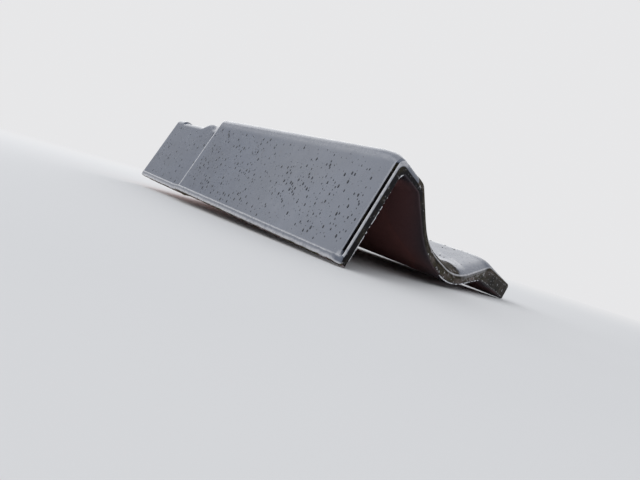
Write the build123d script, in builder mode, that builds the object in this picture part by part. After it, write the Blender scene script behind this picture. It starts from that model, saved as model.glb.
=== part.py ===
from build123d import *
import os
from math import cos, radians, sqrt

# A left-hand verge roof tile of fired clay, one moulded piece.
# It is drawn as it lies on a roof: X runs from the outer face of the side flap towards the pan,
# Y runs up the slope from the tail end at 0 to the head end, and Z is 0 on top of the roll.
# At the end it is turned to the way it stands, unheld, on a level floor.

# Overall sizes
length = 400.0
overall_width = 251.0
head_length = 118.0
flap_drop = 102.0

# Flap and roll of the body
flap_wall = 7.5
roll_wall = 16.5
roll_width = 38.0
shoulder_radius = 8.0
kink_radius = 5.0
inner_shoulder_radius = 4.5
inner_kink_radius = 8.0

# Pan: slope down from the roll, hollow floor, rise to the side lap
pan_depth = 33.5
pan_floor_start = 84.0
pan_floor_end = 148.0
crest_x = 196.0
crest_height = 5.0
pan_wall = 17.5
pan_bend_radius = 115.0
pan_rise_radius = 70.0
crest_radius = 18.0
underside_shift = 3.0

# Side lap beyond the crest
lap_rise = 1.0
lap_foot_x = 187.0
lap_foot_drop = 23.0
lap_edge_drop = 16.0

# Proud band along the flap's lower edge, with a tongue past the step
rim_height = 5.5
rim_setback = 1.2
rim_proud = 0.6
rim_ledge = 1.0
rim_edge_radius = 0.5
rim_tongue = 5.0

# Head end: the flap and roll are set back so that the next tile covers them,
# and their walls swell inwards before the step
flap_setback = 6.0
head_flap_wall = 9.0
head_shoulder_radius = 8.0
head_roll_drop = 12.2
head_roll_climb = 2.5
head_roll_wall = 9.5
swelling_length = 32.0
upstand_foot_x = 36.0
upstand_tip_x = 40.0
upstand_root_x = 46.0
upstand_top = 3.0
upstand_foot_radius = 1.5
upstand_tip_radius = 2.0
upstand_root_radius = 4.0

# Head rim: the last stretch stands a little higher and is cut back underneath
head_rim_length = 18.0
head_rim_rise = 2.5
head_rebate = 2.5

# Water bar across the set-back roll, beyond the step
bar_gap = 16.0
bar_width = 33.0
bar_height = 6.2
bar_root = 3.0

# Tail end: roll and pan nose down to a thin lip and the lap noses down less,
# with a groove beside the flap's edge
nose_length = 28.0
nose_drop = 11.3
lap_nose_drop = 5.2
nose_stages = 6
groove_width = 2.4
groove_depth = 2.2
groove_from_tail = 2.0
groove_top_gap = 0.5
groove_foot_gap = 7.5
tail_edge_radius = 1.2

# Nibs that hang on the batten
nib_drop = 8.5
nib_from_head = 29.0
nib_thickness = 22.0
nib_width = 30.0
nib_flare = 4.0
nib_edge_radius = 3.0
nib_centres = (88.0, 150.0)

step_y = length - head_length
swelling_y = step_y - swelling_length
head_rim_y = length - head_rim_length
pan_underside = pan_depth + pan_wall
lap_top = crest_height + lap_rise
nib_reach = pan_underside + nib_drop
nib_head_face_y = length - nib_from_head
nib_tail_face_y = nib_head_face_y - nib_thickness
pan_radii = [pan_bend_radius, pan_rise_radius, crest_radius]
inner_shoulder_radii = [inner_shoulder_radius, inner_kink_radius]


def section_plane(distance_from_tail):
    """Plane across the tile, seen from the tail, with X and Z of the roof frame."""
    return Plane.XZ.offset(-distance_from_tail)


def pan_top_points(fall=0.0):
    """Upper line beyond the roll: foot of the slope, floor, crest and the lap's edge."""
    lap_fall = fall * lap_nose_drop / nose_drop
    return [
        (pan_floor_start, -pan_depth - fall),
        (pan_floor_end, -pan_depth - fall),
        (crest_x, crest_height - fall),
        (overall_width, lap_top - lap_fall),
    ]


def pan_underside_points(rebate=0.0):
    """Lower line beyond the roll, cut back by rebate."""
    return [
        (pan_floor_start + underside_shift, rebate - pan_underside),
        (pan_floor_end - underside_shift, rebate - pan_underside),
        (lap_foot_x, rebate - lap_foot_drop),
        (overall_width, rebate - lap_edge_drop),
    ]


def point_on(points, x):
    """Point at x on the straight runs through points."""
    for (left_x, left_z), (right_x, right_z) in zip(points, points[1:]):
        if left_x <= x <= right_x:
            share = (x - left_x) / (right_x - left_x)
            return (x, left_z + share * (right_z - left_z))
    return points[0]


def inner_points(swollen, rebate=0.0):
    """Inner line of the flap and roll, from the flap's foot to the head of the pan's slope."""
    slope = [(roll_width - underside_shift, rebate - roll_wall), pan_underside_points(rebate)[0]]
    if not swollen:
        return [(flap_wall, -flap_drop), (flap_wall, -roll_wall), slope[0]]
    inner_x = flap_setback + head_flap_wall - rebate
    inner_z = rebate - head_roll_drop - head_roll_wall
    return [(inner_x, -flap_drop), (inner_x, inner_z), point_on(slope, roll_width + underside_shift)]


def nib_root(x):
    """Where a nib's flank at x ends, in the middle of the pan's wall."""
    return Vector(point_on([(roll_width, 0), *pan_top_points()], x)) - Vector(0, pan_wall / 2)


def quarter_ellipse(distance, reach, rise):
    """What is missing from rise at a distance along a quarter of an ellipse as long as reach."""
    share = max(0.0, 1 - distance / reach)
    return rise * (1 - sqrt(1 - share**2))


def body_section(distance_from_tail, fall=0.0, inset=0.0, swollen=False):
    """Face across the body: roll and pan are lowered by fall, and the flap's face is set in."""
    rim_top = rim_height - flap_drop
    with BuildSketch(section_plane(distance_from_tail)) as section:
        with BuildLine():
            top = FilletPolyline(
                (rim_setback - rim_proud + inset, -flap_drop),
                (inset - rim_proud, rim_top),
                (inset, rim_top + rim_ledge),
                (inset, -fall),
                (roll_width, -fall),
                *pan_top_points(fall),
                radius=[rim_edge_radius, rim_edge_radius, shoulder_radius, kink_radius, *pan_radii],
            )
            underside = FilletPolyline(
                *inner_points(swollen),
                *pan_underside_points(),
                radius=[*inner_shoulder_radii, *pan_radii],
            )
            Line(top @ 0, underside @ 0)
            Line(top @ 1, underside @ 1)
        make_face()
    return section.sketch


def head_section(distance_from_tail, rise=0.0, rebate=0.0):
    """Face across the head: flap and roll set back, and an upstand where the roll meets the pan."""
    roll_z = rise - head_roll_drop
    rim_top = rim_height - flap_drop
    slope_top = [(roll_width, 0), pan_top_points()[0]]
    with BuildSketch(section_plane(distance_from_tail)) as section:
        with BuildLine():
            top = FilletPolyline(
                (flap_setback + rim_setback - rim_proud, -flap_drop),
                (flap_setback - rim_proud, rim_top),
                (flap_setback, rim_top + rim_ledge),
                (flap_setback, roll_z),
                (upstand_foot_x, roll_z + head_roll_climb),
                (upstand_tip_x, upstand_top),
                point_on(slope_top, upstand_root_x),
                *pan_top_points(),
                radius=[
                    rim_edge_radius,
                    rim_edge_radius,
                    head_shoulder_radius,
                    upstand_foot_radius,
                    upstand_tip_radius,
                    upstand_root_radius,
                    *pan_radii,
                ],
            )
            underside = FilletPolyline(
                *inner_points(True, rebate),
                *pan_underside_points(rebate),
                radius=[*inner_shoulder_radii, *pan_radii],
            )
            Line(top @ 0, underside @ 0)
            Line(top @ 1, underside @ 1)
        make_face()
    return section.sketch


def nose_stage(stage):
    """Section at a stage of the nose, evenly turned round its quarter of an ellipse."""
    distance = nose_length * (1 - cos(radians(90 * stage / nose_stages)))
    fall = quarter_ellipse(distance, nose_length, nose_drop)
    return body_section(distance, fall, quarter_ellipse(distance, tail_edge_radius, tail_edge_radius))


# Water bar: the roll's own line raised by the bar's height, cut to an arc along the tile
bar_start_y = step_y + bar_gap
bar_seat_z = bar_root + head_roll_drop
with BuildPart() as water_bar:
    with BuildSketch(section_plane(bar_start_y + bar_width)):
        with BuildLine():
            crown = FilletPolyline(
                (flap_setback, -bar_seat_z - head_shoulder_radius),
                (flap_setback, bar_height - head_roll_drop),
                (upstand_tip_x, bar_height + head_roll_climb - head_roll_drop),
                (upstand_tip_x, -bar_seat_z),
                radius=[head_shoulder_radius + bar_height, rim_edge_radius],
            )
            Line(crown @ 0, crown @ 1)
        make_face()
    extrude(amount=bar_width)
    with BuildSketch(Plane.YZ):
        with BuildLine():
            foot_z = -bar_seat_z - head_shoulder_radius
            hump = ThreePointArc(
                (bar_start_y, -head_roll_drop),
                (bar_start_y + bar_width / 2, bar_height + head_roll_climb - head_roll_drop),
                (bar_start_y + bar_width, -head_roll_drop),
            )
            Polyline(
                hump @ 0,
                (bar_start_y, foot_z),
                (bar_start_y + bar_width, foot_z),
                hump @ 1,
            )
        make_face()
    extrude(amount=upstand_tip_x, mode=Mode.INTERSECT)

# Nibs: blocks that flare up into the pan's wall, rounded at their feet
with BuildPart() as nibs:
    with BuildSketch(section_plane(nib_head_face_y)):
        for centre_x in nib_centres:
            foot_left = centre_x - nib_width / 2
            foot_right = centre_x + nib_width / 2
            root_left = foot_left - nib_flare
            root_right = foot_right + nib_flare
            with BuildLine():
                Polyline(
                    (foot_left, -nib_reach),
                    (foot_right, -nib_reach),
                    nib_root(root_right),
                    nib_root(root_left),
                    close=True,
                )
            make_face()
    extrude(amount=nib_thickness)
    fillet(nibs.faces().group_by(Axis.Z)[0].edges(), radius=nib_edge_radius)

with BuildPart() as laid_tile:
    # Body with its swelling before the step, and the nose down to the tail
    extrude(body_section(swelling_y), amount=swelling_y - nose_length)
    loft([body_section(swelling_y), body_section(step_y, swollen=True)], ruled=True)
    loft([nose_stage(stage) for stage in range(nose_stages + 1)], ruled=True)

    # Head with its rim, and the water bar on it
    extrude(head_section(head_rim_y), amount=head_length - head_rim_length)
    extrude(head_section(length, head_rim_rise, head_rebate), amount=head_rim_length)
    add(water_bar.part)

    # Tongue of the proud band, past the step
    with BuildSketch(section_plane(step_y + rim_tongue)):
        with BuildLine():
            Polyline(
                (rim_setback - rim_proud, -flap_drop),
                (-rim_proud, rim_height - flap_drop),
                (flap_setback + rim_setback, rim_height - flap_drop),
                (flap_setback + rim_setback, -flap_drop),
                close=True,
            )
        make_face()
    extrude(amount=rim_tongue)

    # Groove in the flap's outer face, beside its tail edge
    groove_fall = quarter_ellipse(groove_from_tail, nose_length, nose_drop)
    groove_top = -groove_fall - shoulder_radius - groove_top_gap
    groove_foot = groove_foot_gap - flap_drop
    with BuildSketch(Plane.YZ):
        with Locations((groove_from_tail + groove_width / 2, (groove_top + groove_foot) / 2)):
            SlotOverall(groove_top - groove_foot, groove_width, rotation=90)
    extrude(amount=groove_depth, mode=Mode.SUBTRACT)

    add(nibs.part)

# Unheld, the tile stands on the flap's tail corner, the lap's tail corner and the outer nib
flap_toe = Vector(flap_wall, 0, -flap_drop)
lap_toe = Vector(overall_width, 0, -lap_edge_drop)
nib_toe_inset = nib_edge_radius / sqrt(2)
nib_toe_x = nib_centres[-1] + nib_width / 2 - nib_toe_inset
nib_toe = Vector(nib_toe_x, nib_tail_face_y + nib_toe_inset, -nib_reach)
level_up = (lap_toe - flap_toe).cross(nib_toe - flap_toe)
level_floor = Plane(origin=flap_toe, x_dir=Vector(0, 1, 0).cross(level_up), z_dir=level_up)
standing = level_floor.to_local_coords(laid_tile.part)
extent = standing.bounding_box()
base_centre = Vector(extent.center().X, extent.center().Y, extent.min.Z)

with BuildPart() as verge_tile:
    with Locations(Location(-base_centre)):
        add(standing)

verge_tile.part.label = "verge_tile"
os.makedirs("parts", exist_ok=True)
export_step(verge_tile.part, "parts/verge_tile.step")
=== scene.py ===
"""Looks of a left-hand verge roof tile of black-glazed clay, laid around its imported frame.

The tile is drawn as it lies on a roof: X runs from the outer face of the side flap towards the pan,
Y runs up the slope from the tail end to the head end, and Z is 0 on top of the roll. Every mesh is
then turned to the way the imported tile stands, so each piece sits in the frame with no fitting.
"""

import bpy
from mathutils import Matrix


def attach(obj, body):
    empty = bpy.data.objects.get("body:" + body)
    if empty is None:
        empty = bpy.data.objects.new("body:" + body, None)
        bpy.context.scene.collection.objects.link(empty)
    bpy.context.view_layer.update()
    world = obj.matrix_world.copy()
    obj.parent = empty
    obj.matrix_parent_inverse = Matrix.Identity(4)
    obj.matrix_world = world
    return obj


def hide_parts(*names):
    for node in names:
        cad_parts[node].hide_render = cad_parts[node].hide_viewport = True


bl_info = {
    "name": "Verge Roof Tile",
    "version": (1, 0, 0),
    "blender": (4, 5, 0),
    "location": "View3D > Sidebar > Roof Tile",
    "description": "Builds a glazed clay verge roof tile with its rain drops and a plain studio",
    "category": "Add Mesh",
}

from math import cos, hypot, pi, radians, sin, sqrt, tan

import bmesh
import bpy
import numpy as np
from bpy.props import FloatProperty, FloatVectorProperty, IntProperty, PointerProperty
from mathutils import Matrix, Vector, noise

NODE = "verge_tile"
BODY = "root"
MM = 0.001

# An arc that is drawn in stays this wide, and any arc takes at most this share of the runs beside it.
LEAST_RADIUS = 0.15 * MM
ARC_SHARE = 0.48

# A corner that turns less than this is straight, and its points spread this far to each side.
STRAIGHT_TURN = radians(1.0)
STRAIGHT_REACH = 0.4 * MM

# A vertex of the solid below this height stands on the floor.
SEAT_HEIGHT = 0.1 * MM

# Faces that meet at a larger angle than this show a sharp edge.
SHARP_TURN = radians(38.0)

# Glaze with more stains and painted dark reflection than this, made ragged with noise, is covered by thick
# dull dirt, whose colour is partly a painted dark reflection.
THICK_DIRT_AND_REFLECTION = 0.66

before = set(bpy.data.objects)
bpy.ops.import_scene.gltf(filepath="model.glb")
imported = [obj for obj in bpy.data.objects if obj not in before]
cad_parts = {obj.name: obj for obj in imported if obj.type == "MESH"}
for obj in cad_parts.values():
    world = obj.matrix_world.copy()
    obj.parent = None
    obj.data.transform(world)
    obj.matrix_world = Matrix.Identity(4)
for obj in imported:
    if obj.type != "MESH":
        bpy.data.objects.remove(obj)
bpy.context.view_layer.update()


def length_setting(name, millimetres, description):
    """A length in metres whose default is given in millimetres."""
    return FloatProperty(
        name=name, description=description, default=millimetres * MM, unit="LENGTH", precision=5
    )


def colour_setting(name, colour, description):
    """A linear colour, shown with a colour picker."""
    return FloatVectorProperty(
        name=name, description=description, default=colour, subtype="COLOR", size=3, min=0.0, max=1.0
    )


class TileSizes(bpy.types.PropertyGroup):
    """Real sizes of the tile, the same as those of the solid, and of its rain drops."""

    length: length_setting("Length", 400.0, "From the tail end to the head end")
    width: length_setting("Width", 251.0, "From the flap's outer face to the lap's edge")
    head_length: length_setting("Head length", 118.0, "Set-back stretch that the next tile covers")
    flap_drop: length_setting("Flap drop", 102.0, "From the top of the roll to the flap's foot")
    flap_wall: length_setting("Flap wall", 7.5, "Thickness of the side flap")
    roll_wall: length_setting("Roll wall", 16.5, "Thickness of the roll")
    roll_width: length_setting("Roll width", 38.0, "Width of the flat roll")
    shoulder_radius: length_setting("Shoulder radius", 8.0, "Rounding between flap and roll")
    pan_depth: length_setting("Pan depth", 33.5, "From the top of the roll to the pan's floor")
    pan_wall: length_setting("Pan wall", 17.5, "Thickness of the pan's floor")
    crest_height: length_setting("Crest height", 5.0, "Height of the crest over the roll")
    nose_length: length_setting("Nose length", 28.0, "Stretch over which the tail noses down")
    nose_drop: length_setting("Nose drop", 11.3, "How far roll and pan nose down at the tail")
    lap_nose_drop: length_setting("Lap nose drop", 5.2, "How far the lap's edge noses down")
    drop_width: length_setting("Rain drop width", 1.58, "Middle width of a rain drop")
    drop_spacing: length_setting("Rain drop spacing", 2.4, "Least distance between two rain drops")
    drop_seed: IntProperty(name="Seed", description="Seed of the rain drops' places", default=7, min=0)


class TileColours(bpy.types.PropertyGroup):
    """Colours of the glaze, the raw clay and the dirt, with painted shade, highlights and reflection among
    them.
    """

    # Painted sky reflection: the glaze's grey base colour stands in for the pale sky that the black glaze
    # reflects.
    glaze: colour_setting("Glaze", (0.092, 0.110, 0.152), "Black glaze with its grey bloom")
    # Painted shade as well as glaze: this near-black colour stands for the shaded inside near the tail.
    shaded_glaze_mist: colour_setting("Glaze mist", (0.034, 0.028, 0.035), "Thin glaze on hidden faces")
    clay: colour_setting("Raw clay", (0.50, 0.155, 0.098), "Fired clay with no glaze")
    # Painted shade: raw clay darkened for the shaded underside.
    shaded_clay: colour_setting("Dark clay", (0.130, 0.054, 0.053), "Damp and smoked raw clay")
    # Painted shade: the glaze of the tail face made near black for the shade it lies in.
    shaded_tail_face: colour_setting("Tail face", (0.006, 0.0055, 0.007), "Glazed face of the tail end")
    olive: colour_setting("Olive stain", (0.045, 0.038, 0.020), "Algae and dirt on the tail's nose")
    brown: colour_setting("Brown dirt", (0.072, 0.058, 0.050), "Dried dirt on the pan's end face")
    # Also the colour of the painted highlights along the edges.
    lime_and_highlight: colour_setting("Lime", (0.60, 0.60, 0.62), "Pale lime and worn glaze on the edges")
    moss: colour_setting("Moss", (0.070, 0.075, 0.022), "Moss along the flap's foot")
    floor: colour_setting("Floor", (0.74, 0.74, 0.74), "Studio floor")


def quarter(distance, reach, rise):
    """What is missing from rise at a distance along a quarter of an ellipse as long as reach."""
    share = max(0.0, 1.0 - distance / reach)
    return rise * (1.0 - sqrt(max(0.0, 1.0 - share * share)))


def smooth(value, low, high):
    """0 below low, 1 above high and an even S between them."""
    share = np.clip((value - low) / (high - low), 0.0, 1.0)
    return share * share * (3.0 - 2.0 * share)


def band(value, low, high, edge):
    """1 between low and high, fading out over edge on both sides."""
    return smooth(value, low - edge, low) * (1.0 - smooth(value, high, high + edge))


def drawn_in(corners, inset):
    """Corners of the outline that lies inset further in, with their radii fitted."""
    places = [Vector((c[0], c[1])) for c in corners]
    moved = []
    for i, (_, _, radius, on_arc, on_run) in enumerate(corners):
        way_in = (places[i] - places[i - 1]).normalized()
        way_out = (places[(i + 1) % len(places)] - places[i]).normalized()
        inwards = Vector((way_in.y + way_out.y, -way_in.x - way_out.x))
        place = places[i] + inwards * inset / (1.0 + way_in.dot(way_out))
        convex = way_in.x * way_out.y < way_in.y * way_out.x
        fitted = max(radius - inset, LEAST_RADIUS) if convex else radius + inset
        moved.append((place.x, place.y, fitted, on_arc, on_run))
    return moved


def turned_corner(before, corner, after, radius, count):
    """Points of the arc that rounds a corner, and nearly straight ones where it hardly turns."""
    way_in = (corner - before).normalized()
    way_out = (after - corner).normalized()
    turn = way_in.angle(way_out, 0.0)
    if turn < STRAIGHT_TURN:
        steps = np.linspace(-1, 1, count)
        return [corner + (way_out if k > 0 else way_in) * k * STRAIGHT_REACH for k in steps]
    side = (way_out - way_in * way_in.dot(way_out)).normalized()
    room = ARC_SHARE * min((corner - before).length, (after - corner).length)
    reach = min(radius * tan(turn / 2), room)
    radius = reach / tan(turn / 2)
    start = corner - way_in * reach
    points = []
    for angle in np.linspace(0.0, turn, count):
        points.append(start + way_in * radius * sin(angle) + side * radius * (1.0 - cos(angle)))
    return points


def closed_outline(corners):
    """Points round a closed outline of (x, z, radius, points on the arc, points on the run after it)."""
    places = [Vector((c[0], c[1])) for c in corners]
    count = len(corners)
    arcs = []
    for i, (_, _, radius, on_arc, _) in enumerate(corners):
        arcs.append(turned_corner(places[i - 1], places[i], places[(i + 1) % count], radius, on_arc))
    outline = []
    for i, arc in enumerate(arcs):
        outline += arc
        end = arcs[(i + 1) % count][0]
        on_run = corners[i][4]
        outline += [arc[-1].lerp(end, (k + 1) / (on_run + 1)) for k in range(on_run)]
    return np.array([(p.x, p.y) for p in outline])


FOOT, RIM, LEDGE, SHOULDER, KINK_FOOT, KINK, ROOT, PAN_START, PAN_END, CREST, LAP_TOP = range(11)
LAP_FOOT, LAP_ROOT, BELOW_END, BELOW_START, CEILING, INNER_SHOULDER, INNER_FOOT = range(11, 18)


class TileForm:
    """The tile's section at any distance from its tail end."""

    rim_height = 5.5 * MM
    rim_setback = 1.2 * MM
    rim_proud = 0.6 * MM
    rim_ledge = 1.0 * MM
    rim_tongue = 5.0 * MM
    flap_setback = 6.0 * MM
    head_flap_wall = 9.0 * MM
    head_roll_drop = 12.2 * MM
    head_roll_climb = 2.5 * MM
    head_roll_wall = 9.5 * MM
    upstand_foot = 36.0 * MM
    upstand_tip = 40.0 * MM
    upstand_root = 46.0 * MM
    upstand_top = 3.0 * MM
    head_rim_length = 18.0 * MM
    head_rim_rise = 2.5 * MM
    head_rim_blend = 0.8 * MM
    head_rebate = 2.5 * MM
    bar_start = 16.0 * MM
    bar_width = 33.0 * MM
    bar_height = 6.2 * MM
    kink_width = 8.0 * MM
    pan_start = 84.0 * MM
    pan_start_radius = 115.0 * MM
    pan_end = 148.0 * MM
    pan_end_radius = 70.0 * MM
    underside_shift = 3.0 * MM
    crest_place = 196.0 * MM
    crest_radius = 18.0 * MM
    lap_rise = 1.0 * MM
    lap_root = 187.0 * MM
    lap_root_drop = 23.0 * MM
    lap_edge_drop = 16.0 * MM
    edge_radius = 1.3 * MM
    step_radius = 3.0 * MM
    swelling = 32.0 * MM
    groove_start = 2.2 * MM
    groove_width = 2.0 * MM
    groove_depth = 2.2 * MM
    groove_top = -12.5 * MM
    groove_foot = 7.5 * MM
    # shares of the slot's half width: where its floor ends, where its lip starts
    groove_floor = 0.78
    groove_lip = 1.08
    # half the width of the strip of painted shade in its bottom
    groove_shade = 1.24 * MM
    bead_width = 3.2 * MM
    bead_height = 0.9 * MM
    bead_fade = 4.0 * MM
    # shares of the bead's width: how far it starts inside the slot, where it is highest
    bead_lead = -0.1
    bead_peak = 0.08
    nib_centres = (88.0 * MM, 150.0 * MM)
    nib_width = 30.0 * MM
    nib_flare = 4.0 * MM
    nib_drop = 8.5 * MM
    nib_from_head = 29.0 * MM
    nib_thickness = 22.0 * MM
    nib_round = 3.0 * MM
    nib_face = (-0.4 * MM, 0.8 * MM)
    nib_margin = 2.0 * MM

    def __init__(self):
        sizes = bpy.context.scene.tile_sizes
        self.sizes = sizes
        self.step = sizes.length - sizes.head_length
        self.rim_start = sizes.length - self.head_rim_length
        self.nib_top = sizes.length - self.nib_from_head
        self.nib_tail = self.nib_top - self.nib_thickness
        self.starts = []
        self.arc_ends = []
        index = 0
        for _, _, _, on_arc, on_run in self.corners(0.0, False):
            self.starts.append(index)
            self.arc_ends.append(index + on_arc)
            index += on_arc + on_run
        self.glaze_end = self.starts[LAP_FOOT]

    def corners(self, y, in_head):
        """Corners of the section at y, from the flap's foot up and over to the lap and back below.

        Each is (x, z, radius, points on the arc, points on the run after it).
        """
        s = self.sizes
        nosing = quarter(y, s.nose_length, s.nose_drop)
        lap_nosing = nosing * s.lap_nose_drop / s.nose_drop
        to_step = 0.0 if in_head else quarter(self.step - y, self.step_radius, self.step_radius)
        swollen = float(np.clip((y - self.step + self.swelling) / self.swelling, 0.0, 1.0))
        in_rim = float(smooth(y, self.rim_start - self.head_rim_blend, self.rim_start + self.head_rim_blend))
        rebate = self.head_rebate * in_rim
        face = self.flap_setback if in_head else to_step
        rim_face = 0.0 if y < self.step + self.rim_tongue else self.flap_setback
        roll = -nosing - to_step
        foot_x = s.roll_width - self.kink_width
        foot = roll
        tip_x = s.roll_width
        tip = roll
        tip_radius = 5.0 * MM
        if in_head:
            roll = self.head_rim_rise * in_rim - self.head_roll_drop + self.water_bar(y)
            foot_x = self.upstand_foot
            foot = roll + self.head_roll_climb
            tip_x = self.upstand_tip
            tip = self.upstand_top
            tip_radius = 2.0 * MM
        inner_face = s.flap_wall + swollen * (self.flap_setback + self.head_flap_wall - s.flap_wall)
        ceiling = -s.roll_wall - swollen * (self.head_roll_drop + self.head_roll_wall - s.roll_wall)
        root_share = (self.upstand_root - s.roll_width) / (self.pan_start - s.roll_width)
        floor = -s.pan_depth - nosing
        below = rebate - s.pan_depth - s.pan_wall
        rim_top = self.rim_height - s.flap_drop
        return [
            (rim_face + self.rim_setback - self.rim_proud, -s.flap_drop, 0.7 * MM, 4, 3),
            (rim_face - self.rim_proud, rim_top, 0.7 * MM, 4, 2),
            (face, rim_top + self.rim_ledge, 0.4 * MM, 3, 44),
            (face, roll, s.shoulder_radius, 16, 9),
            (foot_x, foot, 1.5 * MM, 4, 3),
            (tip_x, tip, tip_radius, 8, 3),
            (self.upstand_root, -nosing - root_share * s.pan_depth, 4.0 * MM, 5, 16),
            (self.pan_start, floor, self.pan_start_radius, 26, 3),
            (self.pan_end, floor, self.pan_end_radius, 26, 5),
            (self.crest_place, s.crest_height - nosing, self.crest_radius, 12, 18),
            (s.width, s.crest_height + self.lap_rise - lap_nosing, 2.5 * MM, 5, 5),
            (s.width, rebate - self.lap_edge_drop, 1.5 * MM, 4, 14),
            (self.lap_root, rebate - self.lap_root_drop, self.crest_radius, 8, 7),
            (self.pan_end - self.underside_shift, below, self.pan_end_radius, 36, 4),
            (self.pan_start + self.underside_shift, below, self.pan_start_radius, 36, 7),
            (s.roll_width - self.underside_shift, ceiling + rebate, 8.0 * MM, 8, 8),
            (inner_face - rebate, ceiling + rebate, 4.5 * MM, 8, 40),
            (inner_face - rebate, -s.flap_drop, 0.8 * MM, 4, 4),
        ]

    def water_bar(self, y):
        """Height of the bar across the set-back roll."""
        along = (y - self.step - self.bar_start) / self.bar_width
        return self.bar_height * sin(pi * along) ** 2 if 0.0 < along < 1.0 else 0.0

    def groove_line(self):
        """Middle of the slot along the tile, and the two heights where its rounded ends start."""
        half = self.groove_width / 2
        foot = self.groove_foot - self.sizes.flap_drop + half
        return self.groove_start + half, self.groove_top - half, foot

    def outline(self, y, in_head=False, inset=0.0):
        """Points of the section, drawn in from its own edge by inset."""
        corners = self.corners(y, in_head)
        return closed_outline(drawn_in(corners, inset) if inset else corners)

    def stations(self):
        """(y, whether in the head, inset) of each section from the tail face to the head face."""
        edge = self.edge_radius
        last = self.sizes.length
        bar = self.step + self.bar_start
        tongue = self.step + self.rim_tongue
        blend = self.head_rim_blend
        turn = np.linspace(0, pi / 2, 6)
        rounding = [(0.0, 2.4 * MM), (0.0, 1.9 * MM)]
        rounding += [(edge * (1.0 - cos(angle)), edge * (1.0 - sin(angle))) for angle in turn]
        # (start, end, spacing) over the nose, its dirt and painted dark reflection, the even middle and the
        # swelling walls
        spaced = (
            (edge + 0.22 * MM, 8.4 * MM, 0.22 * MM),
            (9.0 * MM, 35.5 * MM, 1.0 * MM),
            (36.0 * MM, self.step - self.swelling, 5.0 * MM),
            (self.step - self.swelling, self.step - self.step_radius - 1.0 * MM, 3.5 * MM),
        )
        body = [y for stretch in spaced for y in np.arange(*stretch)]
        body += [self.step - self.step_radius * (1.0 - sin(angle)) for angle in np.linspace(0, pi / 2, 9)]
        # (start, end, count) over the water bar, the nibs and the head's rim
        counted = (
            (bar, bar + self.bar_width, 23),
            (self.nib_tail - self.nib_margin, self.nib_tail + 5.0 * MM, 15),
            (self.nib_tail + 7.0 * MM, self.nib_top - 7.0 * MM, 5),
            (self.nib_top - 5.0 * MM, self.nib_top + self.nib_margin, 15),
            (self.nib_top + 5.0 * MM, self.rim_start - 2.0 * MM, 3),
            (self.rim_start - blend, self.rim_start + blend, 5),
            (self.rim_start + 2.5 * MM, last - edge - 0.5 * MM, 5),
        )
        head = [self.step + 0.02 * MM, tongue - 0.5 * MM, tongue + 0.02 * MM]
        head += list(np.arange(self.step + 8.0 * MM, bar - 1.0 * MM, 3.0 * MM))
        head += [y for stretch in counted for y in np.linspace(*stretch)]
        rows = [(y, False, inset) for y, inset in rounding]
        rows += [(y, False, 0.0) for y in body]
        rows += [(y, True, 0.0) for y in sorted(set(head))]
        rows += [(last - y, True, inset) for y, inset in reversed(rounding)]
        return rows


def stance():
    """Turn and shift from the roof to the way the tile stands, on flap toe, lap toe and nib toe."""
    form = TileForm()
    s = form.sizes
    flap_toe = Vector((s.flap_wall, 0.0, -s.flap_drop))
    lap_toe = Vector((s.width, 0.0, -form.lap_edge_drop))
    inset = form.nib_round / sqrt(2.0)
    toe_x = form.nib_centres[-1] + form.nib_width / 2 - inset
    nib_toe = Vector((toe_x, form.nib_tail + inset, -s.pan_depth - s.pan_wall - form.nib_drop))
    across = (lap_toe - flap_toe).normalized()
    up = across.cross(nib_toe - flap_toe).normalized()
    turn = Matrix((across, up.cross(across), up))
    on_floor = [v.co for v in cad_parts[NODE].data.vertices if v.co.z < SEAT_HEIGHT]
    lap_seat = max(on_floor, key=lambda place: place.x)
    return Matrix.Translation(lap_seat - turn @ lap_toe) @ turn.to_4x4()


def new_object(name, data, *materials):
    """Object at the origin for a mesh with its materials, a camera or a lamp."""
    made = bpy.data.objects.new(name, data)
    bpy.context.scene.collection.objects.link(made)
    for material in materials:
        data.materials.append(material)
    return made


def waves(y, z, size, seed):
    """Smooth noise between about -1 and 1 over the tile's length and height."""
    return noise.noise(Vector((seed, y / size, z / size)))


def hollow(y, z, depth, size, seed):
    """Depth of smooth hollows about size wide, from nothing to twice depth."""
    return depth * (1.0 + waves(y, z, size, seed))


def press_groove(form, grid):
    """Presses the slot into the flap's outer face beside its tail edge, with a bead on its other side."""
    middle, top, foot = form.groove_line()
    half = form.groove_width / 2
    bead_start = form.groove_start + form.groove_width
    for row in grid:
        y = row[0, 1]
        if y > bead_start + form.bead_width:
            break
        past = (y - bead_start) / form.bead_width
        for point in row[form.starts[LEDGE] : form.starts[KINK_FOOT]]:
            beyond = max(0.0, point[2] - top, foot - point[2])
            away = hypot(point[1] - middle, beyond)
            pressed = 1.0 - smooth(away, form.groove_floor * half, form.groove_lip * half)
            point[0] += form.groove_depth * pressed
            if past > form.bead_lead:
                fade = 1.0 - smooth(beyond, 0.0, form.bead_fade)
                swell = smooth(past, form.bead_lead, form.bead_peak) * (1.0 - max(0.0, past))
                point[0] -= form.bead_height * fade * swell


def in_groove(form, low, high, z):
    """Whether a strip from low to high along the tile lies in the bottom of the slot, which is painted dark
    as shade.
    """
    middle, top, foot = form.groove_line()
    return foot <= z <= top and abs((low + high) / 2 - middle) < form.groove_shade


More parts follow.
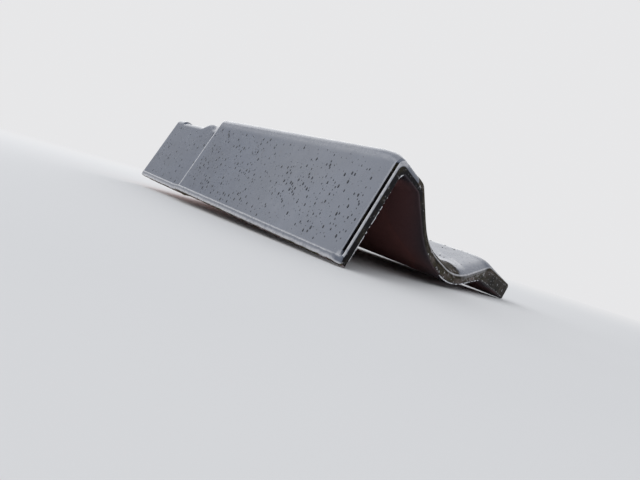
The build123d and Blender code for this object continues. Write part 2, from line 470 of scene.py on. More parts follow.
def draw_nibs(form, grid):
    """Draws the underside down into the two nibs, with points set on the nibs' own edges."""
    s = form.sizes
    reach = -s.pan_depth - s.pan_wall - form.nib_drop
    first, last = form.starts[LAP_ROOT], form.starts[CEILING]
    half = form.nib_width / 2
    flared = half + form.nib_flare
    for row in grid:
        y = row[0, 1]
        along = min(y - form.nib_tail, form.nib_top - y)
        if along < -form.nib_margin:
            continue
        below = row[first:last]
        face = smooth(along, *form.nib_face)
        for centre in form.nib_centres:
            for edge in (centre - flared, centre - half, centre + half, centre + flared):
                k = int(np.argmin(abs(below[:, 0] - edge)))
                other = k + 1 if below[k, 0] > edge else k - 1
                share = (edge - below[k, 0]) / (below[other, 0] - below[k, 0])
                below[k] += share * (below[other] - below[k])
            for point in below:
                inside = half - abs(point[0] - centre)
                flank = min(1.0, max(0.0, 1.0 + inside / form.nib_flare))
                rise = max(quarter(max(0.0, gap), form.nib_round, form.nib_round) for gap in (inside, along))
                point[2] += (reach + rise - point[2]) * flank * face


def weather(form, grid):
    """Sinks the glazed faces a little in slow waves and wears the flap's foot, always inwards."""
    for row in grid:
        y = row[0, 1]
        for point in row[form.arc_ends[LEDGE] : form.starts[PAN_START]]:
            depth = hollow(y, point[2], 0.16 * MM, 46.0 * MM, 3.0)
            depth += hollow(y, point[2], 0.03 * MM, 11.0 * MM, 8.0)
            flap_side = 1.0 - smooth(point[0], 1.0 * MM, 9.0 * MM)
            point[0] += depth * flap_side
            point[2] -= depth * (1.0 - flap_side)
        worn = smooth(y, 4.0 * MM, 12.0 * MM)
        for j in [*range(form.starts[RIM]), *range(form.starts[INNER_FOOT], len(row))]:
            chip = hollow(y, row[j, 0], 0.35 * MM, 6.0 * MM, 21.0)
            chip += hollow(y, 0.0, 0.30 * MM, 2.3 * MM, 5.0)
            row[j, 2] += worn * chip


class Marks:
    """How much limy wear and painted highlight, stains and painted dark reflection, dark glaze and painted
    shade, and wetness each point of the tile has, worked out in millimetres.
    """

    names = ("lime_and_highlight", "stain_and_reflection", "mist_and_shade", "wetness")

    def __init__(self, form, rows, grid):
        self.form = form
        self.x, self.y, self.z = np.moveaxis(grid / MM, 2, 0)
        self.step = form.step / MM
        self.in_head = np.array([[in_head] for _, in_head, _ in rows])
        self.inset = np.array([[inset / MM] for _, _, inset in rows])
        self.column = np.arange(grid.shape[1])[None, :]

    def columns(self, first, last):
        """1 from the start of one corner to the start of another."""
        return (self.column >= self.form.starts[first]) & (self.column < self.form.starts[last])

    def arc(self, corner, low, high):
        """1 along a share of a corner's arc."""
        first = self.form.starts[corner]
        share = (self.column - first) / (self.form.arc_ends[corner] - 1 - first)
        return (share >= low - 1e-6) & (share <= high + 1e-6)

    def pan_line(self, past_end):
        """Distance past a line in the pan's tail corner, which slants away from the tail end."""
        return self.x - (self.form.pan_end / MM + past_end + 0.22 * (self.y - 14.0))

    def lime_and_highlight(self):
        """Pale lines along the edges, most of them painted highlights with some worn glaze, a painted sky
        reflection along the flap's top, and the tide mark in the pan.
        """
        past_tail = smooth(self.y, 6.0, 12.0)
        flap_and_roll = self.columns(LEDGE, KINK_FOOT)
        pan = self.columns(PAN_START, CREST)
        beside_pan = self.columns(ROOT, PAN_START) | self.columns(CREST, LAP_FOOT)
        rim_foot = self.form.arc_ends[FOOT]
        lip = (1.0 - smooth(self.y, 2.1, 2.3)) * (self.inset < 0.65) * (1.0 - smooth(self.x, 7.0, 11.0))
        bead = band(self.y, 4.9, 6.4, 0.7) * band(self.z, -92.0, -13.0, 3.0)
        thin_lip = band(self.y, 0.9, 1.5, 0.3) * (self.inset < 0.39)
        rim_face = (self.column >= rim_foot) & (self.column < self.form.starts[LEDGE])
        # Painted sky reflection on the flap's top band, where it turns up towards the sky.
        painted_sky_reflection = (1.0 - smooth(-self.z, 10.8, 12.8)) * (1.0 - smooth(self.x, 3.0, 9.0))
        low_corner = band(self.y, 4.6, 7.0, 2.5) * (1.0 - smooth(self.z, -96.0, -91.0))
        at_step = band(self.y, self.step - 3.2, self.step - 1.1, 0.6)
        tide = band(self.pan_line(16.0), 0.0, 0.7, 1.1) * band(self.y, 14.0, 50.0, 6.0)
        film = (1.0 - smooth(self.y, 16.0, 32.0)) * smooth(self.x, 152.0, 164.0)
        face_line = band(self.inset, 1.8, 2.0, 0.3) * smooth(self.x, 150.0, 190.0)
        strengths = (
            # painted highlight on the tail's rounded lip
            (0.72, lip * flap_and_roll),
            # painted highlight on the bead beside the slot
            (0.16, bead * self.columns(LEDGE, SHOULDER)),
            (0.80, thin_lip * pan),
            (0.50, thin_lip * beside_pan),
            # painted light on the rim band, which faces down
            (0.24, rim_face * past_tail),
            # painted highlight along the rim's foot
            (0.45, (self.column == rim_foot) * past_tail),
            # painted sky reflection along the flap's top band
            (0.20, painted_sky_reflection * flap_and_roll * ~self.in_head * (self.y > 5.0)),
            # painted highlight along the rim line
            (0.70, self.arc(RIM, 0.0, 0.4) * smooth(self.y, 9.0, 18.0)),
            # painted highlight along the foot's arris
            (0.90, self.arc(FOOT, 0.3, 1.0)),
            # painted highlight along the head's top outline
            (0.40, self.in_head * self.arc(SHOULDER, 0.7, 1.0)),
            (0.50, low_corner * self.columns(RIM, SHOULDER)),
            # painted highlight along the step's edge
            (1.00, at_step * ~self.in_head * flap_and_roll),
            (0.40, tide * pan),
            (0.30, film * pan),
            (0.60, face_line * ~self.in_head),
        )
        return np.clip(sum(strength * place for strength, place in strengths), 0.0, 1.0)

    def stain_and_reflection(self):
        """Olive dirt and a painted dark reflection on the tail's nose, and brown dirt on the end face of
        slope, pan and lap.
        """
        reach = 0.30 + 0.70 * smooth(self.x, 96.0, 138.0)
        # The pan's nose: dirt and a painted dark reflection.
        pan = (1.0 - smooth(self.y / reach, 14.0, 40.0)) * self.columns(ROOT, CREST)
        pan = pan * (1.0 - smooth(self.pan_line(8.0), -6.0, 6.0))
        nose = (1.0 - smooth(self.y, 4.0, 9.0)) * self.columns(KINK_FOOT, PAN_START)
        nose = nose * smooth(self.x, 9.0, 13.0)
        lip = (1.0 - smooth(self.y, 0.8, 1.4)) * self.columns(ROOT, LAP_FOOT)
        on_face = self.inset > 1.17
        face = smooth(self.x, 42.0, 110.0) - 0.70 * smooth(self.x, 185.0, 210.0)
        glazed = ~on_face * np.maximum(np.maximum(pan, nose), lip)
        return np.clip(glazed + on_face * face, 0.0, 1.0)

    def mist_and_shade(self):
        """Dark glaze from the tail, far along the flap and hardly under roll and pan, and painted shade over
        the underside short of the head.
        """
        ragged = np.zeros(self.y.shape)
        for i in range(self.y.shape[0]):
            for j in range(self.form.glaze_end, self.y.shape[1]):
                ragged[i, j] = waves(self.y[i, j], self.x[i, j] + self.z[i, j], 38.0, 13.0)
        on_flap = 1.0 - smooth(self.x, 9.0, 20.0)
        edge = self.y + 26.0 * ragged - 120.0 * on_flap
        near_tail = 1.0 - smooth(edge, -24.0, 72.0)
        # Painted shade over the underside short of the head.
        painted_shade = 0.42 * (1.0 - smooth(edge, 190.0, 330.0))
        return np.maximum(near_tail, painted_shade)

    def wetness(self):
        """Where the rain drops sit: mostly on the flap, away from the outline that the eye sees."""
        flap = self.columns(LEDGE, SHOULDER) * band(self.z, -91.0, -16.0, 4.0)
        flap = flap * (1.0 - 0.45 * smooth(self.y, 235.0, 310.0))
        flap = flap * (1.0 - band(self.y, self.step - 5.0, self.step + 6.0, 0.5))
        past_shoulder = self.column > self.form.arc_ends[SHOULDER]
        top = 0.25 * self.columns(SHOULDER, LAP_TOP) * past_shoulder
        return (flap + top) * band(self.y, 12.0, self.form.sizes.length / MM - 8.0, 5.0)


def cap_end(bm, ring, split, material_index):
    """Closes an end with triangles between the outer path and the inner path of its ring."""
    outer = 0
    inner = len(ring) - 1
    while outer < split or inner > split + 1:
        step_out = (ring[outer + 1].co - ring[inner].co).length if outer < split else float("inf")
        step_in = (ring[outer].co - ring[inner - 1].co).length if inner > split + 1 else float("inf")
        if step_out <= step_in:
            corners = (ring[outer], ring[outer + 1], ring[inner])
            outer += 1
        else:
            corners = (ring[outer], ring[inner - 1], ring[inner])
            inner -= 1
        face = bm.faces.new(corners)
        face.material_index = material_index


GLAZED, HIDDEN, TAIL_FACE, FOOT_FACE, HEAD_FACE, DIRT_AND_REFLECTION = range(6)


def finish_of(form, rows, grid, stain_and_reflection, i, j):
    """Finish of the face that starts at the j-th point of the i-th section."""
    y, in_head, inset = rows[i]
    next_y, _, next_inset = rows[i + 1]
    x, _, z = grid[i, j]
    if min(inset, next_inset) >= 0.5 * form.edge_radius:
        return HEAD_FACE if in_head else TAIL_FACE
    # The slot's bottom takes the near-black tail face finish as painted shade.
    if j < form.starts[KINK_FOOT] and in_groove(form, y, next_y, z):
        return TAIL_FACE
    if j >= form.starts[INNER_FOOT]:
        return FOOT_FACE
    if j >= form.glaze_end:
        return HIDDEN
    ragged = 0.30 * waves(y, x, 7.0 * MM, 2.0) + 0.25 * waves(y, x, 2.6 * MM, 9.0)
    return DIRT_AND_REFLECTION if stain_and_reflection[i, j] + ragged > THICK_DIRT_AND_REFLECTION else GLAZED


def tile_mesh():
    """The whole tile as one closed shell with its faces sorted by finish."""
    form = TileForm()
    rows = form.stations()
    grid = np.array([np.insert(form.outline(*row), 1, row[0], axis=1) for row in rows])
    marks = Marks(form, rows, grid)
    fields = {name: getattr(marks, name)() for name in Marks.names}
    press_groove(form, grid)
    draw_nibs(form, grid)
    weather(form, grid)
    bm = bmesh.new()
    layers = {name: bm.verts.layers.float.new(name) for name in Marks.names}
    rings = []
    for i, row in enumerate(grid):
        ring = [bm.verts.new(place) for place in row]
        for name, layer in layers.items():
            for vert, value in zip(ring, fields[name][i]):
                vert[layer] = float(value)
        rings.append(ring)
    count = grid.shape[1]
    for i in range(len(rows) - 1):
        for j in range(count):
            k = (j + 1) % count
            face = bm.faces.new((rings[i][j], rings[i][k], rings[i + 1][k], rings[i + 1][j]))
            face.smooth = True
            face.material_index = finish_of(form, rows, grid, fields["stain_and_reflection"], i, j)
    # the caps turn back halfway down the lap's edge
    split = form.starts[LAP_FOOT] - 3
    cap_end(bm, rings[0], split, TAIL_FACE)
    cap_end(bm, rings[-1], split, HEAD_FACE)
    bmesh.ops.recalc_face_normals(bm, faces=bm.faces)
    mesh = bpy.data.meshes.new("verge_tile_shell")
    bm.to_mesh(mesh)
    bm.free()
    mesh.set_sharp_from_angle(angle=SHARP_TURN)
    mesh.transform(stance())
    return mesh


class Board:
    """Short hand for a tree of nodes."""

    clamped = False

    def __init__(self, tree):
        self.tree = tree
        tree.nodes.clear()

    def feed(self, value, socket):
        """Links an output or a node's first output to a socket, or sets a plain value or colour on it."""
        if isinstance(value, bpy.types.Node):
            value = value.outputs[0]
        if isinstance(value, bpy.types.NodeSocket):
            self.tree.links.new(value, socket)
        elif socket.type == "RGBA":
            socket.default_value = (*value, 1.0)
        else:
            socket.default_value = value

    def add(self, kind, inputs=None, **settings):
        """New node with its settings, and with its inputs fed by name or number."""
        node = self.tree.nodes.new(kind)
        for name, value in settings.items():
            setattr(node, name, value)
        for key, value in (inputs or {}).items():
            self.feed(value, node.inputs[key])
        return node

    def sum(self, operation, first, second):
        """One sum of two values, kept between 0 and 1 on a clamped board."""
        inputs = {0: first, 1: second}
        return self.add("ShaderNodeMath", inputs, operation=operation, use_clamp=self.clamped)

    def span(self, source, low, high, to_low, to_high):
        """Maps a value from one range to another."""
        inputs = {"Value": source, "From Min": low, "From Max": high, "To Min": to_low, "To Max": to_high}
        return self.add("ShaderNodeMapRange", inputs)


class MaterialBoard(Board):
    """Short hand for a material's nodes."""

    clamped = True

    def __init__(self, name):
        self.material = bpy.data.materials.new(name)
        self.material.use_nodes = True
        super().__init__(self.material.node_tree)
        self.colours = bpy.context.scene.tile_colours
        self.surface = self.add("ShaderNodeBsdfPrincipled")
        self.output = self.add("ShaderNodeOutputMaterial", {"Surface": self.surface})
        self.place = self.add("ShaderNodeTexCoord").outputs["Object"]

    def mark(self, name):
        """One of the tile's marks, as a value from 0 to 1."""
        return self.add("ShaderNodeAttribute", attribute_name=name).outputs["Fac"]

    def noise(self, size, detail=3.0, roughness=0.55):
        """Noise whose blobs are about size millimetres wide, turned with the tile."""
        turn = stance().to_3x3().inverted().to_euler()
        mapping = self.add("ShaderNodeMapping", {"Vector": self.place, "Rotation": turn})
        inputs = {"Vector": mapping, "Scale": 0.5 / (size * MM), "Detail": detail, "Roughness": roughness}
        return self.add("ShaderNodeTexNoise", inputs)

    def ramp(self, source, *stops):
        """Colour ramp through (place, colour) stops."""
        node = self.add("ShaderNodeValToRGB", {"Fac": source})
        elements = node.color_ramp.elements
        while len(elements) < len(stops):
            elements.new(0.5)
        for element, (place, colour) in zip(elements, stops):
            element.position = place
            element.color = (*colour, 1.0)
        return node

    def mix(self, share, first, second):
        """Colour between two colours."""
        return self.add("ShaderNodeMix", {0: share, 6: first, 7: second}, data_type="RGBA").outputs[2]

    def finish(self, colour, roughness, relief=None, others=None):
        """The material with its colour, roughness, relief of (pattern, millimetres) and plain values."""
        if relief:
            pattern, height = relief
            bump = self.add("ShaderNodeBump", {"Height": pattern, "Distance": height * MM, "Strength": 1.0})
            self.feed(bump, self.surface.inputs["Normal"])
        for name, value in {"Base Color": colour, "Roughness": roughness, **(others or {})}.items():
            self.feed(value, self.surface.inputs[name])
        return self.material


def shade(colour, factor):
    """A colour made lighter or darker."""
    return tuple(min(1.0, factor * part) for part in colour)


def top_colour(board):
    """Colour of the glazed faces with their dirt, painted dark reflection, worn edges and painted
    highlights, and how much dirt and painted reflection each place has.
    """
    colours = board.colours
    clouds = board.noise(26.0, 4.0)
    glaze = board.ramp(clouds, (0.36, shade(colours.glaze, 0.93)), (0.66, shade(colours.glaze, 1.10)))
    # Dirt patches, which on the tail's nose also stand for a painted dark reflection.
    patches = board.ramp(
        board.noise(3.2, 6.0, 0.72),
        (0.40, shade(colours.brown, 0.12)),
        (0.50, shade(colours.olive, 0.7)),
        (0.58, colours.brown),
        (0.68, shade(colours.lime_and_highlight, 0.55)),
    )
    ragged = board.span(board.noise(4.0, 4.0), 0.3, 0.7, 0.35, -0.35)
    # This share of dirt also carries the painted dark reflection on the nose.
    dirt = board.span(board.sum("ADD", board.mark("stain_and_reflection"), ragged), 0.25, 0.75, 0.0, 1.0)
    specks = board.span(board.noise(1.3, 2.0), 0.3, 0.55, 0.55, 1.0)
    # Limy wear and painted highlights along the edges.
    worn = board.sum("MULTIPLY", board.mark("lime_and_highlight"), specks)
    return board.mix(worn, board.mix(dirt, glaze, patches), colours.lime_and_highlight), dirt


def glaze_material():
    """Black glaze with a painted grey sky reflection, pale with wear and painted highlights on its edges,
    and stained near the tail with some painted dark reflection.
    """
    board = MaterialBoard("black_glaze")
    colour, dirt = top_colour(board)
    grain = board.noise(5.0)
    sheen = board.span(grain, 0.3, 0.7, 0.20, 0.30)
    return board.finish(colour, board.sum("MAXIMUM", sheen, dirt), (grain, 0.03), {"IOR": 1.65})


def dirt_and_reflection_material():
    """Thick dull dirt over the glaze of the nose, its colour partly a painted dark reflection."""
    board = MaterialBoard("nose_dirt")
    colour, _ = top_colour(board)
    relief = (board.noise(2.0, 4.0), 0.25)
    return board.finish(colour, 0.8, relief, {"Specular IOR Level": 0.15})


def hidden_material():
    """Underside: raw red clay towards the head, darkened with painted shade further along and glazed dark
    towards the tail.
    """
    board = MaterialBoard("raw_clay_and_glaze_mist")
    colours = board.colours
    raw = board.ramp(board.noise(20.0, 5.0), (0.32, shade(colours.clay, 0.62)), (0.62, colours.clay))
    mist_and_shade = board.mark("mist_and_shade")
    # From raw clay through painted shade to dark glaze.
    shaded_underside = board.ramp(mist_and_shade, (0.0, colours.clay), (0.45, colours.shaded_clay), (0.85, colours.shaded_glaze_mist))
    colour = board.mix(board.span(mist_and_shade, 0.0, 0.30, 0.0, 1.0), raw, shaded_underside)
    roughness = board.span(mist_and_shade, 0.3, 0.95, 0.88, 0.38)
    relief = (board.noise(1.4, 5.0, 0.7), 0.3)
    return board.finish(colour, roughness, relief, {"Specular IOR Level": 0.3})


def tail_face_material():
    """Dark glazed face of the tail end in painted shade, with olive dirt and a few limy specks."""
    board = MaterialBoard("tail_face_glaze")
    colours = board.colours
    patches = board.noise(7.0, 6.0, 0.68)
    glazed = board.ramp(patches, (0.50, colours.shaded_tail_face), (0.80, colours.olive))
    dirty = board.ramp(
        patches,
        (0.36, shade(colours.brown, 0.30)),
        (0.47, colours.olive),
        (0.56, colours.brown),
        (0.68, shade(colours.brown, 1.9)),
    )
    stain_and_reflection = board.mark("stain_and_reflection")
    specks = board.noise(1.5, 2.0)
    limy = board.span(specks, 0.62, 0.68, 0.0, 0.75)
    speckled = board.sum("MULTIPLY", limy, board.sum("ADD", stain_and_reflection, 0.25))
    worn = board.sum("MULTIPLY", board.mark("lime_and_highlight"), board.span(specks, 0.44, 0.56, 0.0, 0.6))
    pale = board.sum("MAXIMUM", speckled, worn)
    colour = board.mix(pale, board.mix(stain_and_reflection, glazed, dirty), colours.lime_and_highlight)
    return board.finish(colour, 0.55, (patches, 0.35), {"Specular IOR Level": 0.10})


def foot_material():
    """Flap's foot, with limy patches, dirt and moss."""
    board = MaterialBoard("weathered_foot")
    colours = board.colours
    patches = board.noise(4.0, 5.0, 0.7)
    colour = board.ramp(
        patches,
        (0.36, colours.shaded_tail_face),
        (0.47, colours.moss),
        (0.55, colours.shaded_clay),
        (0.66, colours.lime_and_highlight),
    )
    return board.finish(colour, 0.9, (patches, 0.5))


def head_face_material():
    """Raw red clay on the head's end face."""
    board = MaterialBoard("raw_clay_face")
    clay = board.colours.clay
    colour = board.ramp(board.noise(9.0, 5.0), (0.32, shade(clay, 0.78)), (0.6, shade(clay, 1.12)))
    return board.finish(colour, 0.85, (board.noise(1.2, 5.0, 0.7), 0.25))


def water_material(name, colour, roughness):
    """Water in a drop, with a faint mottle."""
    board = MaterialBoard(name)
    tint = board.ramp(board.noise(0.8, 2.0), (0.35, shade(colour, 0.8)), (0.65, shade(colour, 1.15)))
    return board.finish(tint, roughness, None, {"IOR": 1.33})


class GeometryBoard(Board):
    """Short hand for a tree of geometry nodes with named inputs."""

    def __init__(self, name, **inputs):
        super().__init__(bpy.data.node_groups.new(name, "GeometryNodeTree"))
        interface = self.tree.interface
        for label, kind in {"Geometry": "Geometry", **inputs}.items():
            interface.new_socket(label, in_out="INPUT", socket_type="NodeSocket" + kind)
        interface.new_socket("Geometry", in_out="OUTPUT", socket_type="NodeSocketGeometry")
        self.source = self.add("NodeGroupInput").outputs
        self.output = self.add("NodeGroupOutput")

    def random(self, low, high):
        """Random number between low and high for each point."""
        inputs = {2: low, 3: high, "Seed": self.source["Seed"]}
        return self.add("FunctionNodeRandomValue", inputs, data_type="FLOAT").outputs[1]

    def drops(self, points, rotation, size, shape, segments, rings, chosen=True):
        """A ball of a shape on every chosen point, made real, smooth and wet."""
        ball = self.add("GeometryNodeMeshUVSphere", {"Segments": segments, "Rings": rings, "Radius": 0.5})
        scale = self.add("ShaderNodeVectorMath", {0: shape, "Scale": size}, operation="SCALE")
        placed = {"Points": points, "Selection": chosen, "Rotation": rotation}
        sit = self.add("GeometryNodeInstanceOnPoints", {"Instance": ball, "Scale": scale, **placed})
        real = self.add("GeometryNodeRealizeInstances", {"Geometry": sit})
        soft = self.add("GeometryNodeSetShadeSmooth", {"Geometry": real})
        wet = self.add("GeometryNodeSetMaterial", {"Geometry": soft, "Material": self.source["Material"]})
        self.feed(wet, self.output.inputs["Geometry"])


def rain_tree():
    """Geometry nodes that sit flat drops on the wet faces in loose clusters, long way down the flap."""
    board = GeometryBoard("rain_drops", Spacing="Float", Width="Float", Seed="Int", Material="Material")
    wetness = board.add("GeometryNodeInputNamedAttribute", {"Name": "wetness"}, data_type="FLOAT")
    clusters = board.add("ShaderNodeTexNoise", {"Scale": 0.5 / (20.0 * MM), "Detail": 2.0})
    spread = board.span(clusters, 0.35, 0.65, 0.50, 1.0)
    inputs = {
        "Mesh": board.source["Geometry"],
        "Distance Min": board.source["Spacing"],
        "Density Max": 56000.0,
        "Density Factor": board.sum("MULTIPLY", wetness, spread),
        "Seed": board.source["Seed"],
    }
    scatter = board.add("GeometryNodeDistributePointsOnFaces", inputs, distribute_method="POISSON")
    # most drops are small, and the widest are 1.57 times the middle width
    chance = board.sum("POWER", board.random(0.0, 1.0), 2.2)
    size = board.sum("ADD", board.sum("MULTIPLY", chance, 1.15), 0.42)
    size = board.sum("MULTIPLY", size, board.source["Width"])
    flat = (0.78, 1.55, 0.30)
    downhill = (0.0, -0.12, -1.0)
    lift = board.add("FunctionNodeAlignRotationToVector", {"Vector": scatter.outputs["Normal"]}, axis="Z")
    inputs = {"Rotation": lift, "Vector": downhill}
    fall = board.add("FunctionNodeAlignRotationToVector", inputs, axis="Y", pivot_axis="Z")
    board.drops(scatter, fall, size, flat, 8, 5)
    return board.tree


def hanging_tree():
    """Geometry nodes that string beads of water along an edge, with gaps."""
    sockets = {"Spacing": "Float", "Width": "Float", "Share": "Float", "Seed": "Int", "Material": "Material"}
    board = GeometryBoard("hanging_drops", **sockets)
    line = board.add("GeometryNodeMeshToCurve", {"Mesh": board.source["Geometry"]})
    inputs = {"Curve": line, "Length": board.source["Spacing"]}
    spots = board.add("GeometryNodeCurveToPoints", inputs, mode="LENGTH")
    inputs = {"Probability": board.source["Share"], "Seed": board.source["Seed"]}
    kept = board.add("FunctionNodeRandomValue", inputs, data_type="BOOLEAN").outputs[3]
    size = board.sum("MULTIPLY", board.random(0.55, 1.25), board.source["Width"])
    along_edge = (1.0, 1.0, 2.4)
    board.drops(spots, spots.outputs["Rotation"], size, along_edge, 8, 6, kept)
    return board.tree


def realised(carrier, tree, **inputs):
    """Mesh that a tree makes on a carrier object, with its inputs set by name."""
    modifier = carrier.modifiers.new("nodes", "NODES")
    modifier.node_group = tree
    for item in tree.interface.items_tree:
        if item.in_out == "INPUT" and item.name in inputs:
            modifier[item.identifier] = inputs[item.name]
    graph = bpy.context.evaluated_depsgraph_get()
    graph.update()
    mesh = bpy.data.meshes.new_from_object(carrier.evaluated_get(graph), depsgraph=graph)
    carrier.modifiers.remove(modifier)
    if not mesh.polygons:
        raise RuntimeError("no drops were made on " + carrier.name)
    return mesh


def edge_path(form, y, first, last, low, high):
    """Mesh of a line along the tail's section at y, between two corners and two heights."""
    turn = stance()
    outline = form.outline(y)[form.starts[first] : form.starts[last]]
    places = [turn @ Vector((x, y, z)) for x, z in outline if low <= z <= high]
    mesh = bpy.data.meshes.new("edge_path")
    mesh.from_pydata(places, [(i, i + 1) for i in range(len(places) - 1)], [])
    return mesh


class TILE_OT_body(bpy.types.Operator):
    """Model the tile and give it its glaze, raw clay, weathering, painted highlights and painted shade"""

    bl_idname = "roof_tile.body"
    bl_label = "Tile"

    def execute(self, context):
        piece = new_object(
            "verge_tile_glazed",
            tile_mesh(),
            glaze_material(),
            hidden_material(),
            tail_face_material(),
            foot_material(),
            head_face_material(),
            dirt_and_reflection_material(),
        )
        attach(piece, BODY)
        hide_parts(NODE)
        return {"FINISHED"}


class TILE_OT_rain(bpy.types.Operator):
    """Sit rain drops on the glaze"""

    bl_idname = "roof_tile.rain"
    bl_label = "Rain drops"

    water = ("rain_water", (0.034, 0.037, 0.048), 0.22)

    def execute(self, context):
        sizes = context.scene.tile_sizes
        carrier = new_object("rain_carrier", bpy.data.objects["verge_tile_glazed"].data.copy())
        mesh = realised(
            carrier,
            rain_tree(),
            Spacing=sizes.drop_spacing,
            Width=sizes.drop_width,
            Seed=sizes.drop_seed,
            Material=water_material(*self.water),
        )
        bpy.data.objects.remove(carrier)
        mesh.name = "rain_drops"
        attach(new_object("rain_drops", mesh), BODY)
        return {"FINISHED"}


class TILE_OT_hanging(bpy.types.Operator):
    """Hang beads of water, pale as a painted highlight, along the lower edges of the tail end"""

    bl_idname = "roof_tile.hanging"
    bl_label = "Hanging drops"

    # The beads' pale colour is a painted highlight: it stands in for the glints on clear water.
    water = ("bead_water", (0.80, 0.81, 0.84), 0.15)
    spacing = 1.6 * MM
    first_seed = 3

    def execute(self, context):
        form = TileForm()
        above_foot = 5.0 * MM - form.sizes.flap_drop
        pan_foot = -form.sizes.pan_depth - form.sizes.pan_wall
        edge = 0.6 * MM
        inner = (INNER_SHOULDER, INNER_FOOT)
        below = (LAP_ROOT, BELOW_START)
        # (name, place along the tile, corners, lowest, highest, bead width, share of places with a bead)
        lines = (
            ("flap_edge", edge, inner, above_foot, -46.0 * MM, 0.85 * MM, 0.85),
            ("flap_top_edge", edge, inner, -46.0 * MM, -24.0 * MM, 0.5 * MM, 0.35),
            # A large pale bead: a painted highlight on the inner corner.
            ("corner_highlight_bead", 1.8 * MM, inner, -22.5 * MM, -17.0 * MM, 2.3 * MM, 1.0),
            ("pan_edge", edge, below, pan_foot, -24.0 * MM, 1.15 * MM, 0.6),
        )
        water = water_material(*self.water)
        tree = hanging_tree()
        joined = bmesh.new()
        for seed, (name, y, corners, low, high, width, share) in enumerate(lines, self.first_seed):
            carrier = new_object(name, edge_path(form, y, *corners, low, high))
            mesh = realised(
                carrier, tree, Spacing=self.spacing, Width=width, Share=share, Seed=seed, Material=water
            )
            joined.from_mesh(mesh)
            bpy.data.objects.remove(carrier)
            bpy.data.meshes.remove(mesh)
        beads = bpy.data.meshes.new("hanging_drops")
        joined.to_mesh(beads)
        joined.free()
        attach(new_object("hanging_drops", beads, water), BODY)
        return {"FINISHED"}


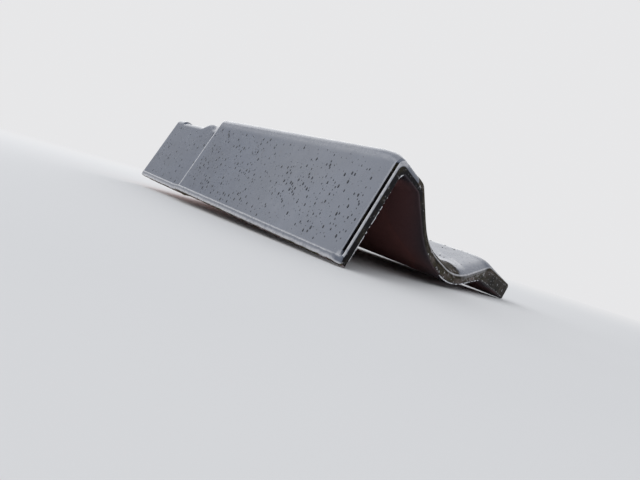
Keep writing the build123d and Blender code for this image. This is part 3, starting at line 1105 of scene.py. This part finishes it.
class TILE_OT_stage(bpy.types.Operator):
    """Set up the plain studio and the camera at the photograph's viewing angle"""

    bl_idname = "roof_tile.stage"
    bl_label = "Studio"

    camera_place = (-249.2 * MM, -235.1 * MM, -148.2 * MM)
    camera_forward = (0.6759, 0.7207, 0.1543)
    camera_up = (-0.4779, 0.2691, 0.8362)
    camera_lens = 26.98
    camera_sensor = 36.0
    background = (0.80, 0.80, 0.81)
    daylight = (0.80, 0.82, 0.86)
    daylight_strength = 0.80
    floor_half_width = 6.0
    floor_fade = (0.45, 1.3)
    lamp_distance = 2.2
    # (name, azimuth from +Y towards +X and elevation in degrees, width, height, radiance)
    lamps = (
        ("back_lamp", 30.0, 32.0, 3.2, 2.2, 1.15),
        ("side_lamp", -58.0, 33.0, 2.0, 1.7, 1.2),
    )

    def camera(self, context):
        """Camera placed in the roof frame and turned with the tile."""
        data = bpy.data.cameras.new("camera")
        data.sensor_width = self.camera_sensor
        data.lens = self.camera_lens
        data.clip_start = 10.0 * MM
        camera = new_object("camera", data)
        forward = Vector(self.camera_forward).normalized()
        right = forward.cross(Vector(self.camera_up)).normalized()
        up = right.cross(forward)
        turn = Matrix((right, up, -forward)).transposed().to_4x4()
        camera.matrix_world = stance() @ Matrix.Translation(self.camera_place) @ turn
        context.scene.camera = camera

    def lamp(self, name, azimuth, elevation, width, height, radiance):
        """Soft lamp that faces the tile."""
        around = radians(azimuth)
        above = radians(elevation)
        way = Vector((sin(around) * cos(above), cos(around) * cos(above), sin(above)))
        data = bpy.data.lights.new(name, "AREA")
        data.shape = "RECTANGLE"
        data.size = width
        data.size_y = height
        data.energy = radiance * pi * width * height
        lamp = new_object(name, data)
        lamp.location = self.lamp_distance * way
        lamp.rotation_euler = (-way).to_track_quat("-Z", "Y").to_euler()
        lamp.visible_camera = False

    def floor(self):
        """Plain pale floor that turns into the background further out."""
        half = self.floor_half_width
        mesh = bpy.data.meshes.new("floor")
        corners = [(-half, -half, 0.0), (half, -half, 0.0), (half, half, 0.0), (-half, half, 0.0)]
        mesh.from_pydata(corners, [], [(0, 1, 2, 3)])
        board = MaterialBoard("studio_floor")
        board.finish(board.colours.floor, 1.0, None, {"Specular IOR Level": 0.0})
        glow = board.add("ShaderNodeEmission", {"Color": self.background})
        away = board.add("ShaderNodeVectorMath", {0: board.place}, operation="LENGTH")
        far = board.span(away.outputs["Value"], *self.floor_fade, 0.0, 1.0)
        blend = board.add("ShaderNodeMixShader", {"Fac": far, 1: board.surface, 2: glow})
        board.feed(blend, board.output.inputs["Surface"])
        new_object("floor", mesh, board.material)

    def world(self, context):
        """Even pale surroundings, which the camera and glossy faces see as the background."""
        world = bpy.data.worlds.new("studio")
        context.scene.world = world
        world.use_nodes = True
        board = Board(world.node_tree)
        seen = board.add("ShaderNodeBackground", {"Color": self.background})
        lit = board.add("ShaderNodeBackground", {"Color": self.daylight, "Strength": self.daylight_strength})
        rays = board.add("ShaderNodeLightPath").outputs
        either = board.sum("MAXIMUM", rays["Is Camera Ray"], rays["Is Glossy Ray"])
        blend = board.add("ShaderNodeMixShader", {"Fac": either, 1: lit, 2: seen})
        board.add("ShaderNodeOutputWorld", {"Surface": blend})

    def execute(self, context):
        self.camera(context)
        self.floor()
        self.world(context)
        for lamp in self.lamps:
            self.lamp(*lamp)
        context.scene.view_settings.view_transform = "Standard"
        return {"FINISHED"}


class TILE_PT_panel(bpy.types.Panel):
    """Sizes, colours and steps of the roof tile"""

    bl_idname = "TILE_PT_panel"
    bl_label = "Roof Tile"
    bl_space_type = "VIEW_3D"
    bl_region_type = "UI"
    bl_category = "Roof Tile"

    def draw(self, context):
        layout = self.layout
        for group in (context.scene.tile_sizes, context.scene.tile_colours):
            for name in group.__annotations__:
                layout.prop(group, name)
        for operator in STEPS:
            layout.operator(operator.bl_idname)


STEPS = (TILE_OT_body, TILE_OT_rain, TILE_OT_hanging, TILE_OT_stage)
CLASSES = (TileSizes, TileColours, *STEPS, TILE_PT_panel)


def register():
    """Adds the classes and the two groups of settings."""
    for entry in CLASSES:
        bpy.utils.register_class(entry)
    bpy.types.Scene.tile_sizes = PointerProperty(type=TileSizes)
    bpy.types.Scene.tile_colours = PointerProperty(type=TileColours)


def unregister():
    """Takes the classes and the settings out again."""
    del bpy.types.Scene.tile_colours
    del bpy.types.Scene.tile_sizes
    for entry in reversed(CLASSES):
        bpy.utils.unregister_class(entry)


def main():
    """Builds every piece in order."""
    register()
    bpy.ops.roof_tile.body()
    bpy.ops.roof_tile.rain()
    bpy.ops.roof_tile.hanging()
    bpy.ops.roof_tile.stage()


if __name__ == "__main__":
    main()
